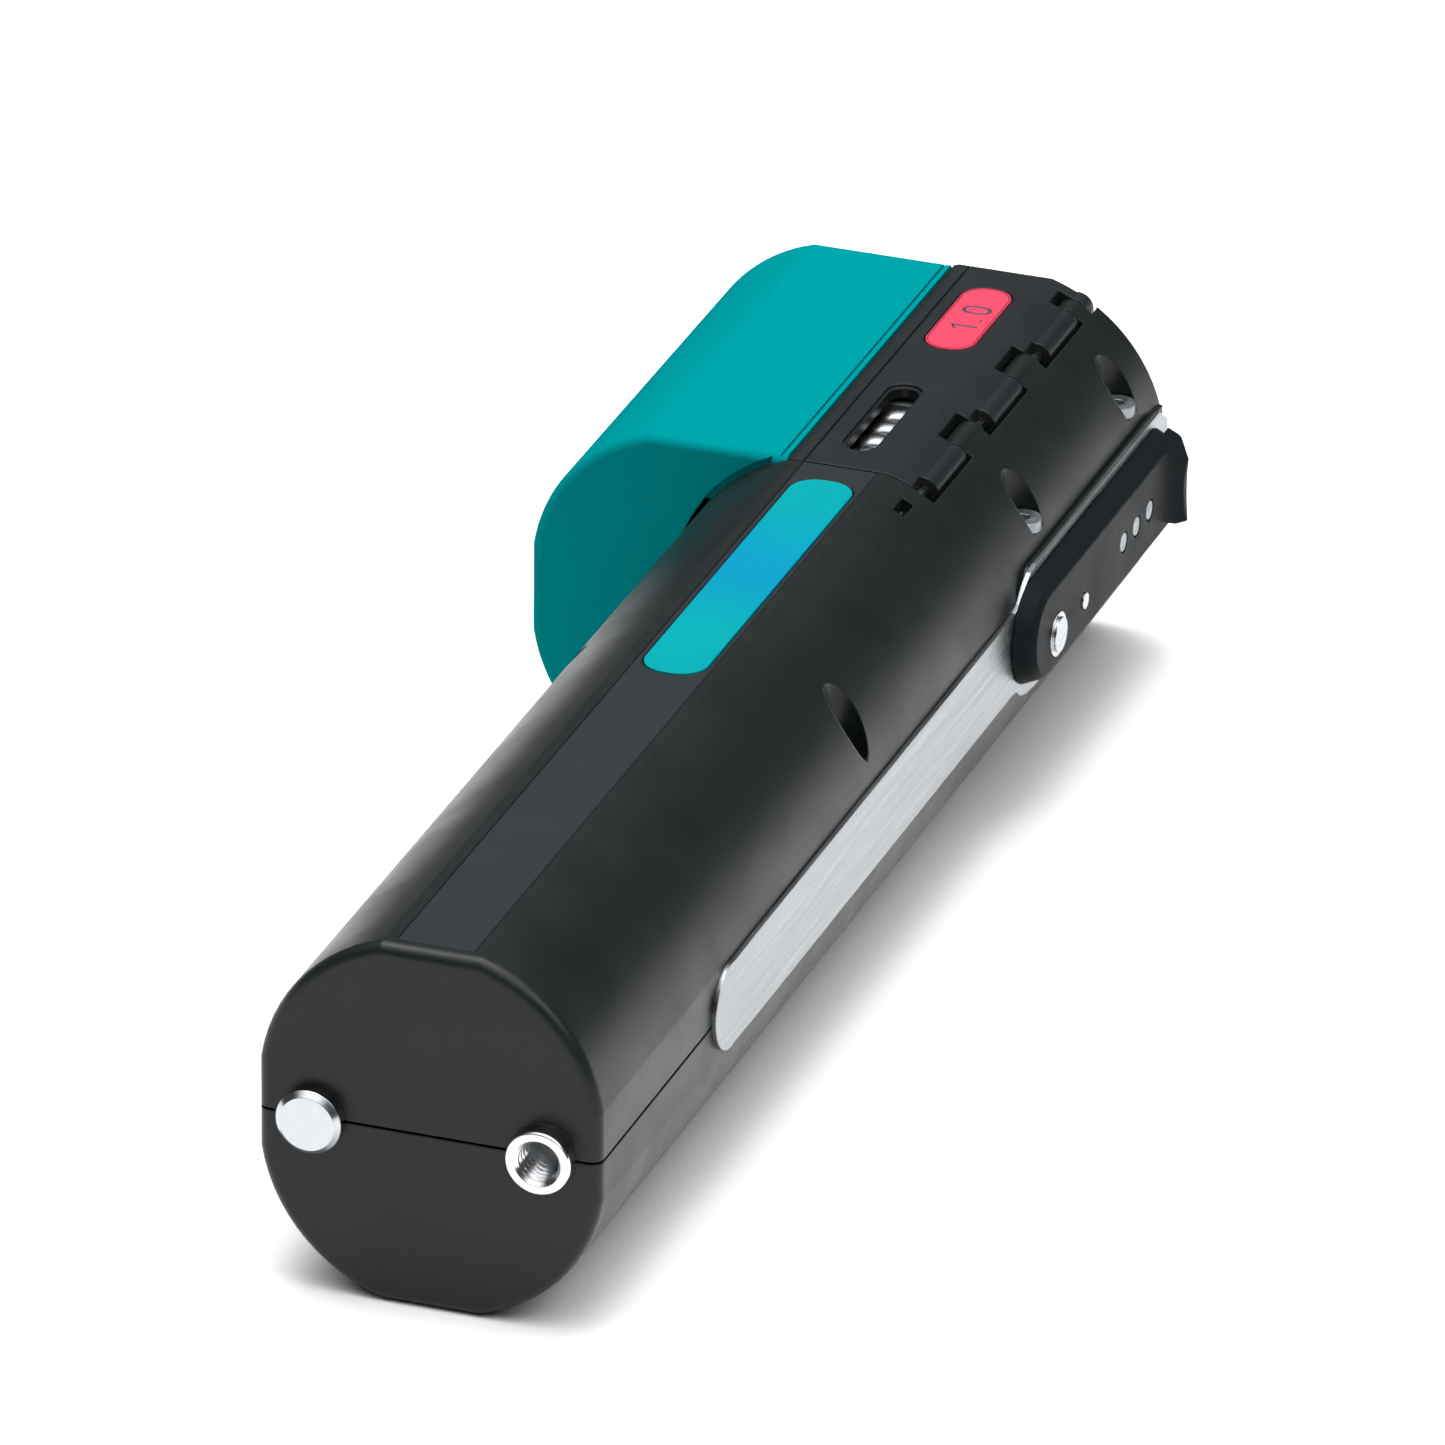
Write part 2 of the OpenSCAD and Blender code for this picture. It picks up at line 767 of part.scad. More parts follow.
// ---------- head cover ----------
module head_cover() {
    color([0.13, 0.15, 0.16]) difference() {
        union() {
            difference() {
                intersection() {
                    soft_form(0, body_len, rim_r, 1);
                    union() {
                        block([cover_left, cover_edge], [head_y + cover_gap, body_len], [20, 40]);
                        for (k = [0:2]) {
                            y0 = hinge_y[k] + (k == 0 ? cover_gap : 0.1);
                            block([cover_edge - 1, 12.3], [y0, hinge_y[k] + notch_len], [20, 40]);
                            block([cover_edge - 1, hinge_x],
                                  [hinge_y[k] + notch_len - 0.1, hinge_y[k] + slot_len - 0.4],
                                  [hinge_z, 40]);
                        }
                        block([cover_edge - 1, hinge_x], end_knuckle, [hinge_z, 40]);
                    }
                }
                along_y(head_y - 1, body_len + 1) oval(wall);
            }
            for (k = [0:2])
                rod_along_y(hinge_x, hinge_z, hinge_r,
                            [hinge_y[k] + notch_len, hinge_y[k] + slot_len - 0.4]);
            rod_along_y(hinge_x, hinge_z, hinge_r, end_knuckle);
            // Front lip
            intersection() {
                union() {
                    block([-6, 9.4], [end_knuckle[0], body_len - 0.6], [23.2, 30]);
                    block([9.3, 11.5], end_knuckle, [24.2, 30]);
                }
                along_y(190, 276) oval(1);
            }
        }
        rod_along_y(hinge_x, hinge_z, pin_r + 0.06, [head_y, body_len + 1]);
        // Slot over the spring, bevelled
        translate([0, 0, 20]) linear_extrude(20) stadium([198.6, 224.9], 2.6, 2.6, 0.1);
        translate([0, 0, half_h - 0.5]) linear_extrude(2)
            stadium([198.1, 225.6], 3.1, 3.1, 0.1);
        // Recess of the size label
        translate([0, 0, half_h - 0.6]) linear_extrude(2)
            stadium([240.9, 266.8], 4.6, 4.1, 0.5);
        // Border line that carries on from the inlay
        block([-6.5, -6.15], [head_y, body_len + 1], [half_h - 0.35, 40]);
    }
}

module size_label() {
    color([0.93, 0.36, 0.45]) translate([0, 0, half_h - 0.6]) linear_extrude(0.65)
        stadium([241.2, 266.5], 4.3, 3.9, 0.5);
}

// ---------- lever ----------
module lever() {
    color([0.2, 0.23, 0.24]) difference() {
        union() {
            hull($fn = 48) {
                for (e = [[lever_base, 0], [lever_x - 0.9, 1.2], [lever_x, 2.1]]) {
                    x = [e[0], e[0] + 0.05];
                    rod_along_x(202.5, 1.4, 9.1 - e[1], x);
                    rod_along_x(265, 4.5, 6 - e[1], x);
                    rod_along_x(268.6, -5.3, 2.4 - e[1], x);
                }
            }
            // Finger lip with a hollowed face and a dished tip
            difference() {
                intersection() {
                    block([31, lip_x], [256, 269.2], [-10, 12]);
                    along_y(250, 275) polygon([
                        [31, -6.6], [lever_x, -5.8], [lip_x, -5.6], [lip_x, 5.6],
                        [lever_x, 8.6], [31, 9.6]
                    ]);
                    translate([0, 0, -12]) linear_extrude(26) polygon([
                        [31, 256], [lip_x, 256], [lip_x, 266.6], [33.4, 269.2], [31, 269.2]
                    ]);
                    along_x(30, lip_x + 1) polygon([
                        [255, -3.2], [260.5, -3.8], [264, -5.5], [270, -5.8], [270, 12], [255, 12]
                    ]);
                }
                rod_along_z(lip_x + 9.8, 257.97, 12.65, [-12, 14]);
                rod_along_y(lip_x + 35.85, 0, 36.3, [250, 275]);
            }
        }
        rod_along_x(pivot_y, pivot_z, pivot_r + 0.02, [20, 40]);
        rod_along_x(stop_y, pivot_z, 1.42, [20, 40]);
        for (y = rivet_y) rod_along_x(y, rivet_z, rivet_r + 0.02, [20, 40]);
    }
}

module lever_pivot() {
    color([0.8, 0.81, 0.82]) {
        rod_along_x(pivot_y, pivot_z, pivot_r, [lever_base, lever_x + 0.2]);
        rod_along_x(pivot_y, pivot_z, pivot_r - 0.8, [lever_x + 0.1, lever_x + 0.7]);
        rod_along_x(pivot_y, pivot_z, stub_r, [20.4, lever_base + 0.1]);
        hull() {
            rod_along_x(pivot_y, pivot_z, stub_r, [20.4, 22.6], $fn = 32);
            rod_along_x(pivot_y - 8, pivot_z, 2, [20.4, 22.6], $fn = 32);
        }
    }
}

module lever_pin() {
    color([0.85, 0.86, 0.87]) rod_along_x(stop_y, pivot_z, 1.4, [lever_base, lever_x + 0.3]);
}

module lip_rivets() {
    color([0.75, 0.77, 0.77]) for (y = rivet_y) {
        rod_along_x(y, rivet_z, rivet_r, [lever_base, lever_x - rivet_sink]);
        rod_along_x(y, rivet_z, rivet_r - rivet_rim, [lever_x - rivet_sink - 0.1, lever_x]);
    }
}

// ---------- magazine ----------
module mag_section(inset) {
    h = half_h - inset;
    intersection() {
        union() {
            translate([-mag_shift, 0]) oval(inset);
            translate([-mag_shift, -h]) square([mag_shift, 2 * h]);
        }
        translate([-100, -50]) square([100 + mag_edge, 100]);
    }
}

// Outside of the magazine, flat across to the body, with rounded rims
module mag_form() {
    intersection() {
        union() {
            translate([-mag_shift, 0, 0]) soft_form(mag_y, mag_end, 1.6, 1);
            along_x(-mag_shift, bay_x) rotate(90) mirror([0, 1])
                soft_profile(half_h, mag_y, mag_end, 1.6, 1);
        }
        block([-100, mag_edge], [180, 280], [-40, 40]);
    }
}

// Shallow recess and narrow opening in the near face, beside the body
module mag_recess() {
    along_y(mag_y - 1, mag_y + 0.8) intersection() {
        translate([0, corner_z]) circle(corner_r + 0.9, $fn = 128);
        translate([-24.5, 20.6]) square([12.5, 12]);
    }
    along_y(mag_y - 1, mag_y + 2.1) intersection() {
        translate([0, corner_z]) circle(corner_r + 0.75, $fn = 128);
        polygon([[-30, 13.8], [-20, 13.8], [-20, 21.2], [-24, 21.2]]);
    }
}

module magazine_case() {
    color([0, 0.6, 0.62]) difference() {
        union() {
            difference() {
                mag_form();
                along_y(190, 280) oval(bay_step - 0.3);
                along_y(mag_y + mag_wall, 280) difference() {
                    mag_section(mag_wall);
                    oval(bay_step - 1.9);
                }
            }
            // Lips that hook into the body's grooves
            for (s = [-1, 1])
                block([-11.6, -10.4], [mag_y, mag_end],
                      s > 0 ? [27.2, 29.4] : [-29.4, -27.2]);
        }
        block([-32, -20], outlet_y, outlet_z);
        // Fine groove along the inner edge
        block([-10.7, -10.25], [head_y, 280], [half_h - 0.5, 40]);
        mag_recess();
    }
}

module magazine_cap() {
    color([0, 0.55, 0.57]) along_y(271, mag_end - 0.3) difference() {
        mag_section(mag_wall + 0.05);
        oval(bay_step - 1.95);
    }
}

module spool_axle() {
    color([0.75, 0.76, 0.77]) {
        rod_along_x(spool_y, 0, 3, [mag_inner, -29.2]);
        rod_along_x(spool_y, 0, 7, [mag_inner, mag_inner + 1]);
    }
}

module brake_spring() {
    color([0.8, 0.81, 0.83]) translate([mag_inner + 1.55, spool_y, 0]) rotate([0, 0, -90])
        coil(4.6, brake_wire, brake_wire, 1.96, 3);
}

module spool() {
    color([0.85, 0.86, 0.84]) difference() {
        union() {
            rod_along_x(spool_y, 0, spool_r, [spool_x[0], spool_x[0] + 1.3]);
            rod_along_x(spool_y, 0, spool_r, [spool_x[1] - 1.3, spool_x[1]]);
            rod_along_x(spool_y, 0, 8, spool_x);
        }
        rod_along_x(spool_y, 0, 3.06, [-60, -20]);
        for (a = [0:60:300]) {
            p = on_circle(15, a);
            rod_along_x(spool_y + p[0], p[1], 3, [spool_x[0] - 1, spool_x[0] + 2]);
        }
    }
}

module ferrule_coil() {
    color([0.9, 0.3, 0.36]) difference() {
        rod_along_x(spool_y, 0, 18.6, [spool_x[0] + 1.4, spool_x[1] - 1.4]);
        rod_along_x(spool_y, 0, 8.05, [-60, -20]);
        for (a = [0:10:350]) {
            p = on_circle(18.6, a);
            rod_along_x(spool_y + p[0], p[1], 0.8, [-60, -20]);
        }
    }
}

upper_shell();
lower_shell();
top_inlay();
status_window();
side_plate();
front_plate();
wire_funnel();
hinge_pin();
case_screws();
contact_stud();
charge_bush();
battery_cells();
battery_cradle();
battery_contacts();
circuit_board();
indicator_leds();
motor();
gearbox_housing();
bearing_plate();
shaft_bearing();
crimp_housing();
die_guide();
guide_rod();
return_spring();
belt_guide();
ferrule_belt();
sprocket_axle();
feed_solenoid();
start_switch();
head_cover();
size_label();
lever();
lever_pivot();
lever_pin();
lip_rivets();
magazine_case();
magazine_cap();
spool_axle();
brake_spring();
spool();
ferrule_coil();
feed_sprocket();
feed_plunger();
crimp_cam();
planet_carrier();
motor_pinion();
planet_gear(0);  // planet_gear_1
planet_gear(1);  // planet_gear_2
planet_gear(2);  // planet_gear_3
indenter(0);  // indenter_1
indenter(1);  // indenter_2
indenter(2);  // indenter_3
indenter(3);  // indenter_4
strip_carriage();
strip_blade(1);  // strip_blade_upper
strip_blade(-1);  // strip_blade_lower
start_flap();
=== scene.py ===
"""Looks of the battery hand tool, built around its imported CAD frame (metres, +Y along the body)."""
import math

import bpy
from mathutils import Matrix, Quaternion, Vector


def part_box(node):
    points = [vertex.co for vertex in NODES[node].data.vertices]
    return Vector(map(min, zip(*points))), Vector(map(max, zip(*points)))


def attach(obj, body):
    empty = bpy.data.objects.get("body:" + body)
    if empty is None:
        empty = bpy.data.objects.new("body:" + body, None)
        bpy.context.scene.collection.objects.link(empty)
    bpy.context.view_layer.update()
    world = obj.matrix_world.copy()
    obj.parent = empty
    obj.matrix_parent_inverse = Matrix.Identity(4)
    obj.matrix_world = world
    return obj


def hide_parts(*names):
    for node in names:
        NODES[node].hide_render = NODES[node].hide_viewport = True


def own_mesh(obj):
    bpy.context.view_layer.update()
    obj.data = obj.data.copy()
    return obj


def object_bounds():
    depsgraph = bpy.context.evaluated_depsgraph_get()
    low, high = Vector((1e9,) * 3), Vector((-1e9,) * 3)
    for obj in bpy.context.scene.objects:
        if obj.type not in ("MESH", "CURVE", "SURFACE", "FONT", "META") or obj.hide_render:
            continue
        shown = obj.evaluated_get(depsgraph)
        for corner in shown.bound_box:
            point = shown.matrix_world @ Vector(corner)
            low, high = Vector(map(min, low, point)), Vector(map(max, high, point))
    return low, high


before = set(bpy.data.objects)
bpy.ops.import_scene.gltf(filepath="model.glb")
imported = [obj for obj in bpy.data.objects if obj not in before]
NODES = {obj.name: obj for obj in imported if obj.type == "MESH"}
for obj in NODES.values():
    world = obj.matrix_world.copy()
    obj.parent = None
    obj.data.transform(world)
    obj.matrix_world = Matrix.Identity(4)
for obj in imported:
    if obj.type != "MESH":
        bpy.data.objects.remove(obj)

cad_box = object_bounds()
MM = 0.001
# The two end contacts' axes in mm: the bush at +X, the stud at -X
CONTACT_X, CONTACT_Z = 19.2, -0.7


# ---------- camera, floor and light ----------
def make_camera():
    """The catalogue view: low from the near end, a little to the right, long lens."""
    target = Vector((-1.888, 140.063, 7.285)) * MM
    azimuth, elevation, roll = (math.radians(a) for a in (19.6455, 25.788, 0.499))
    distance = 2.9012
    back = Vector((
        math.sin(azimuth) * math.cos(elevation),
        -math.cos(azimuth) * math.cos(elevation),
        math.sin(elevation),
    ))
    data = bpy.data.cameras.new("camera")
    data.sensor_width = 36
    data.lens = 445.35
    data.clip_start, data.clip_end = 0.05, 30
    camera = bpy.data.objects.new("camera", data)
    camera.rotation_mode = "QUATERNION"
    camera.location = target + back * distance
    camera.rotation_quaternion = (-back).to_track_quat("-Z", "Y") @ Quaternion((0, 0, 1), roll)
    bpy.context.collection.objects.link(camera)
    bpy.context.scene.camera = camera


def area_light(name, place, target, size, power, colour=(1, 1, 1)):
    data = bpy.data.lights.new(name, "AREA")
    data.shape = "RECTANGLE"
    data.size, data.size_y = size
    data.energy = power
    data.color = colour
    light = bpy.data.objects.new(name, data)
    light.location = place
    light.rotation_mode = "QUATERNION"
    light.rotation_quaternion = (Vector(target) - Vector(place)).to_track_quat("-Z", "Y")
    bpy.context.collection.objects.link(light)


def make_floor():
    """A plain white floor, a hair below the tool."""
    side, gap = 12, 0.1 * MM
    bpy.ops.mesh.primitive_plane_add(size=side, location=(0, 0, cad_box[0].z - gap))
    floor = bpy.context.active_object
    floor.name = "floor"
    material = bpy.data.materials.new("floor_white")
    material.use_nodes = True
    shader = material.node_tree.nodes["Principled BSDF"]
    shader.inputs["Base Color"].default_value = (0.92, 0.92, 0.92, 1)
    shader.inputs["Roughness"].default_value = 0.7
    shader.inputs["Specular IOR Level"].default_value = 0.15
    floor.data.materials.append(material)


def make_light():
    """One soft key nearly overhead, a dim panel behind that the top flat mirrors, and a fill
    from the right. The sky is bright only overhead."""
    middle = (0, 0.14, 0)
    sky_starts, sky_full, sky_low, sky_high = 0.55, 0.95, 0.06, 2.6
    area_light("key", (-0.1, 0.2, 1.8), middle, (1.1, 1.1), 24)
    area_light("back_panel", (-0.65, 1.75, 0.9), middle, (1.1, 0.9), 0.35)
    area_light("right_fill", (1.2, -0.25, 1.2), middle, (0.9, 0.9), 7)
    world = bpy.data.worlds.new("studio")
    world.use_nodes = True
    tree = world.node_tree
    direction = tree.nodes.new("ShaderNodeTexCoord")
    split = tree.nodes.new("ShaderNodeSeparateXYZ")
    ramp = tree.nodes.new("ShaderNodeMapRange")
    ramp.interpolation_type = "SMOOTHSTEP"
    for socket, value in (("From Min", sky_starts), ("From Max", sky_full),
                          ("To Min", sky_low), ("To Max", sky_high)):
        ramp.inputs[socket].default_value = value
    tree.links.new(direction.outputs["Generated"], split.inputs["Vector"])
    tree.links.new(split.outputs["Z"], ramp.inputs["Value"])
    tree.links.new(ramp.outputs["Result"], tree.nodes["Background"].inputs["Strength"])
    tree.nodes["Background"].inputs["Color"].default_value = (1, 1, 1, 1)
    scene = bpy.context.scene
    scene.world = world
    scene.view_settings.view_transform = "Standard"
    scene.view_settings.look = "None"


# ---------- materials ----------
def srgb(red, green, blue):
    """A colour of 0 to 255 as linear RGBA."""
    parts = [c / 255 for c in (red, green, blue)]
    linear = [c / 12.92 if c <= 0.04045 else ((c + 0.055) / 1.055) ** 2.4 for c in parts]
    return (*linear, 1.0)


class Look:
    """A Principled material with short calls for the nodes that this scene uses."""

    def __init__(self, name, colour, roughness, metallic=0.0, **sockets):
        self.material = bpy.data.materials.new(name)
        self.material.use_nodes = True
        self.tree = self.material.node_tree
        self.shader = self.tree.nodes["Principled BSDF"]
        self.colour = colour
        self.roughness = roughness
        self.shader.inputs["Base Color"].default_value = colour
        self.shader.inputs["Roughness"].default_value = roughness
        self.shader.inputs["Metallic"].default_value = metallic
        for socket, value in sockets.items():
            self.shader.inputs[socket.replace("_", " ")].default_value = value
        self.place = self.add("ShaderNodeTexCoord").outputs["Object"]
        self.normal = None

    def add(self, kind, **inputs):
        node = self.tree.nodes.new(kind)
        for socket, value in inputs.items():
            self.feed(node.inputs[socket.replace("_", " ")], value)
        return node

    def feed(self, socket, value):
        if isinstance(value, bpy.types.NodeSocket):
            self.tree.links.new(value, socket)
        else:
            socket.default_value = value

    def stretched(self, scale):
        """Object coordinates scaled per axis, for grain that runs along one of them."""
        node = self.add("ShaderNodeMapping", Vector=self.place)
        node.inputs["Scale"].default_value = scale
        return node.outputs["Vector"]

    def noise(self, scale, detail=2.0, where=None, distortion=0.0):
        node = self.add("ShaderNodeTexNoise", Vector=where or self.place, Scale=scale,
                        Detail=detail, Distortion=distortion)
        return node.outputs["Fac"]

    def spread(self, value, low, high, out_low, out_high):
        node = self.add("ShaderNodeMapRange", Value=value)
        for socket, number in zip(("From Min", "From Max", "To Min", "To Max"),
                                  (low, high, out_low, out_high)):
            node.inputs[socket].default_value = number
        return node.outputs["Result"]

    def mix(self, fraction, first, second):
        node = self.tree.nodes.new("ShaderNodeMix")
        node.data_type = "RGBA"
        self.feed(node.inputs["Factor"], fraction)
        self.feed(node.inputs["A"], first)
        self.feed(node.inputs["B"], second)
        return node.outputs["Result"]

    def edges(self, radius):
        """1 on edges and 0 on flat places, the mask for edge wear and painted edge highlights; also
        softens the normal across each edge.
        """
        bevel = self.add("ShaderNodeBevel")
        bevel.samples = 6
        bevel.inputs["Radius"].default_value = radius
        geometry = self.add("ShaderNodeNewGeometry")
        dot = self.add("ShaderNodeVectorMath")
        dot.operation = "DOT_PRODUCT"
        self.feed(dot.inputs[0], bevel.outputs["Normal"])
        self.feed(dot.inputs[1], geometry.outputs["Normal"])
        self.normal = bevel.outputs["Normal"]
        return self.spread(dot.outputs["Value"], 0.985, 0.8, 0.0, 1.0)

    def maths(self, operation, *values):
        node = self.tree.nodes.new("ShaderNodeMath")
        node.operation = operation
        for socket, value in zip(node.inputs, values):
            self.feed(socket, value)
        return node.outputs[0]

    def bump(self, height, distance):
        node = self.add("ShaderNodeBump", Height=height)
        node.inputs["Distance"].default_value = distance
        node.inputs["Strength"].default_value = 1
        if self.normal:
            self.feed(node.inputs["Normal"], self.normal)
        self.normal = node.outputs["Normal"]

    def vary_colour(self, fraction, second):
        socket = self.shader.inputs["Base Color"]
        first = socket.links[0].from_socket if socket.links else self.colour
        self.feed(socket, self.mix(fraction, first, second))

    def vary_roughness(self, value, swing):
        self.feed(self.shader.inputs["Roughness"],
                  self.spread(value, 0.3, 0.7, self.roughness - swing, self.roughness + swing))

    def done(self):
        if self.normal:
            self.feed(self.shader.inputs["Normal"], self.normal)
        return self.material


def scaled(colour, factor):
    return (*[min(1, c * factor) for c in colour[:3]], 1.0)


def moulded_plastic(name, colour, roughness=0.42, grain=3200, depth=0.02, wear_and_sheen=0.5,
                    edge=0.35, **sockets):
    """Injection-moulded plastic: spark-eroded grain, faint clouding, and edges lighter from rub wear
    and a painted edge highlight.
    """
    look = Look(name, colour, roughness, **sockets)
    worn_and_lit_edges = look.edges(edge * MM)
    clouds = look.noise(35, 3)
    look.vary_colour(look.spread(clouds, 0.35, 0.65, 0.0, 0.35), scaled(colour, 1.18))
    rubbed = look.spread(look.noise(420, 4), 0.35, 0.7, 0.2 * wear_and_sheen, wear_and_sheen)
    # Lighter edges: patchy rub wear together with a painted edge highlight.
    look.vary_colour(look.maths("MULTIPLY", worn_and_lit_edges, rubbed), scaled(colour, 2.2))
    look.vary_roughness(look.noise(90, 4), 0.05)
    look.bump(look.noise(grain, 3), depth * MM)
    return look.done()


def gloss_plastic(name, colour, roughness=0.2, wave=0.05, **sockets):
    """Polished moulding: long soft waves in the surface, fine dust and hairline marks."""
    look = Look(name, colour, roughness, **sockets)
    worn_and_lit_edges = look.edges(0.3 * MM)
    look.vary_colour(look.spread(look.noise(22, 2), 0.3, 0.7, 0.0, 0.25), scaled(colour, 1.12))
    # Painted edge highlight: the edges lightened in the base colour.
    look.vary_colour(look.spread(worn_and_lit_edges, 0, 1, 0, 0.35), scaled(colour, 1.6))
    hairlines = look.noise(160, 5, look.stretched((6, 0.4, 6)), 0.3)
    look.vary_roughness(hairlines, 0.04)
    look.bump(look.noise(45, 2), wave * MM)
    look.bump(look.noise(2600, 2), 0.002 * MM)
    return look.done()


def brushed_metal(name, colour, roughness=0.3, along=(1, 0.03, 1), scale=2500, depth=0.004,
                  edge=0.25):
    """Metal with fine brush lines that run along the axis with the small factor."""
    look = Look(name, colour, roughness, metallic=1.0)
    worn_and_lit_edges = look.edges(edge * MM)
    lines = look.noise(scale, 4, look.stretched(along))
    look.vary_colour(look.spread(lines, 0.3, 0.7, 0.0, 0.3), scaled(colour, 0.78))
    # Painted edge highlight: bright edge lines painted into the base colour.
    look.vary_colour(look.spread(worn_and_lit_edges, 0, 1, 0, 0.6), scaled(colour, 1.3))
    look.vary_roughness(lines, 0.08)
    look.bump(lines, depth * MM)
    return look.done()


def turned_metal(name, colour, roughness=0.16, centre=(0, 0), scale=5200):
    """Lathe-turned metal: fine rings about the axis along Y through centre (x, z)."""
    look = Look(name, colour, roughness, metallic=1.0)
    look.edges(0.15 * MM)
    mapping = look.add("ShaderNodeMapping", Vector=look.place)
    mapping.inputs["Location"].default_value = (-centre[0], 0, -centre[1])
    flat = look.add("ShaderNodeVectorMath")
    flat.operation = "MULTIPLY"
    look.feed(flat.inputs[0], mapping.outputs["Vector"])
    flat.inputs[1].default_value = (1, 0, 1)
    length = look.add("ShaderNodeVectorMath")
    length.operation = "LENGTH"
    look.feed(length.inputs[0], flat.outputs["Vector"])
    rings = look.add("ShaderNodeTexNoise", Scale=scale, Detail=3.0)
    rings.noise_dimensions = "1D"
    look.feed(rings.inputs["W"], length.outputs["Value"])
    look.vary_roughness(rings.outputs["Fac"], 0.05)
    look.bump(rings.outputs["Fac"], 0.002 * MM)
    look.vary_colour(look.spread(look.noise(700, 3), 0.4, 0.7, 0, 0.2), scaled(colour, 0.8))
    return look.done()


def window_look():
    """Tinted status window: lit teal that turns blue along its middle."""
    low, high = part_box("status_window")
    teal, blue = srgb(0, 133, 139), srgb(3, 119, 155)
    look = Look("window_teal", teal, 0.2, Specular_IOR_Level=0.05)
    split = look.add("ShaderNodeSeparateXYZ", Vector=look.place)
    reach = (high.y - low.y) / 2
    bluest = (low.y + high.y) / 2 + 0.1 * reach
    offset = look.maths("ABSOLUTE", look.maths("SUBTRACT", split.outputs["Y"], bluest))
    glow = look.spread(offset, 0.08 * reach, 0.62 * reach, 0.9, 0.0)
    mottled = look.noise(60, 2)
    colour = look.mix(glow, teal, blue)
    colour = look.mix(look.spread(mottled, 0.35, 0.65, 0, 0.12), colour, scaled(teal, 1.3))
    look.feed(look.shader.inputs["Base Color"], colour)
    look.feed(look.shader.inputs["Emission Color"], colour)
    look.shader.inputs["Emission Strength"].default_value = 0.04
    look.edges(0.2 * MM)
    look.bump(look.noise(50, 2), 0.02 * MM)
    return look.done()


def circuit_look():
    """Green lacquered board with paler copper tracks under the lacquer."""
    look = Look("board_green", srgb(14, 92, 58), 0.3)
    cells = look.add("ShaderNodeTexVoronoi", Vector=look.place)
    cells.distance = "MANHATTAN"
    cells.inputs["Scale"].default_value = 420
    tracks = look.spread(cells.outputs["Distance"], 0.32, 0.36, 0.0, 1.0)
    look.vary_colour(tracks, srgb(46, 130, 84))
    look.bump(tracks, 0.02 * MM)
    return look.done()


def dress_nodes():
    """Gives every CAD node its material."""
    for plain in list(bpy.data.materials):
        if plain.name != "floor_white":
            bpy.data.materials.remove(plain)
    black = moulded_plastic("shell_black", srgb(20, 24, 25), 0.36, depth=0.008,
                            Specular_IOR_Level=0.24)
    cover = moulded_plastic("cover_black", srgb(22, 26, 28), 0.38, depth=0.008,
                            Specular_IOR_Level=0.3)
    steel = brushed_metal("bright_steel", srgb(182, 185, 188), 0.26)
    tool = brushed_metal("tool_steel", srgb(150, 154, 158), 0.35, (1, 1, 1), 900)
    bronze = brushed_metal("gear_bronze", srgb(178, 150, 96), 0.38, (1, 1, 1), 1200)
    brass = brushed_metal("contact_brass", srgb(205, 170, 100), 0.3)
    zinc = brushed_metal("zinc_screw", srgb(146, 151, 155), 0.4, (1, 1, 1), 700, 0.01)
    teal = gloss_plastic("magazine_teal", srgb(0, 122, 126), 0.24, Specular_IOR_Level=0.0)
    inner = moulded_plastic("inner_plastic", srgb(62, 66, 68), 0.5)
    ferrule = gloss_plastic("ferrule_red", srgb(214, 66, 82), 0.35)
    looks = {
        black: ["upper_shell", "lower_shell", "front_plate"],
        moulded_plastic("inlay_grey", srgb(26, 31, 34), 0.5, depth=0.01, wear_and_sheen=0.3,
                        Specular_IOR_Level=0.25):
            ["top_inlay"],
        window_look(): ["status_window"],
        cover: ["head_cover"],
        gloss_plastic("label_coral", srgb(204, 62, 86), 0.35, 0.02, Specular_IOR_Level=0.1):
            ["size_label"],
        teal: ["magazine_case", "magazine_cap"],
        brushed_metal("plate_silver", srgb(152, 155, 158), 0.32, (1, 0.02, 1), 2200):
            ["side_plate"],
        # Wider lightened edge band on the lever: rub wear and a painted edge highlight.
        moulded_plastic("lever_grey", srgb(20, 24, 26), 0.4, 2600, 0.012, 0.6, 0.7,
                        Specular_IOR_Level=0.03):
            ["lever"],
        steel: ["hinge_pin", "guide_rod", "sprocket_axle", "lever_pivot", "lever_pin",
                "spool_axle", "feed_plunger", "motor_pinion", "start_flap",
                "shaft_bearing", "strip_blade_upper", "strip_blade_lower",
                *[f"indenter_{i}" for i in range(1, 5)]],
        tool: ["wire_funnel", "motor", "gearbox_housing", "crimp_housing", "die_guide",
               "planet_carrier"],
        bronze: ["feed_sprocket", "crimp_cam", *[f"planet_gear_{i}" for i in range(1, 4)]],
        brass: ["battery_contacts", "feed_solenoid"],
        zinc: ["case_screws", "lip_rivets"],
        inner: ["battery_cradle", "bearing_plate", "belt_guide", "start_switch",
                "strip_carriage"],
        ferrule: ["ferrule_belt", "ferrule_coil"],
        turned_metal("stud_polished", srgb(186, 189, 192), 0.2, (-CONTACT_X * MM, CONTACT_Z * MM)):
            ["contact_stud"],
        gloss_plastic("cell_blue", srgb(40, 96, 150), 0.3): ["battery_cells"],
        circuit_look(): ["circuit_board"],
        gloss_plastic("led_white", srgb(235, 238, 236), 0.2): ["indicator_leds"],
        moulded_plastic("spool_white", srgb(214, 216, 212), 0.45): ["spool"],
        brushed_metal("spring_steel", srgb(136, 139, 142), 0.3): ["brake_spring"],
    }
    for material, names in looks.items():
        for name in names:
            mesh = NODES[name].data
            mesh.materials.clear()
            mesh.materials.append(material)
    return {m.name: m for m in looks}


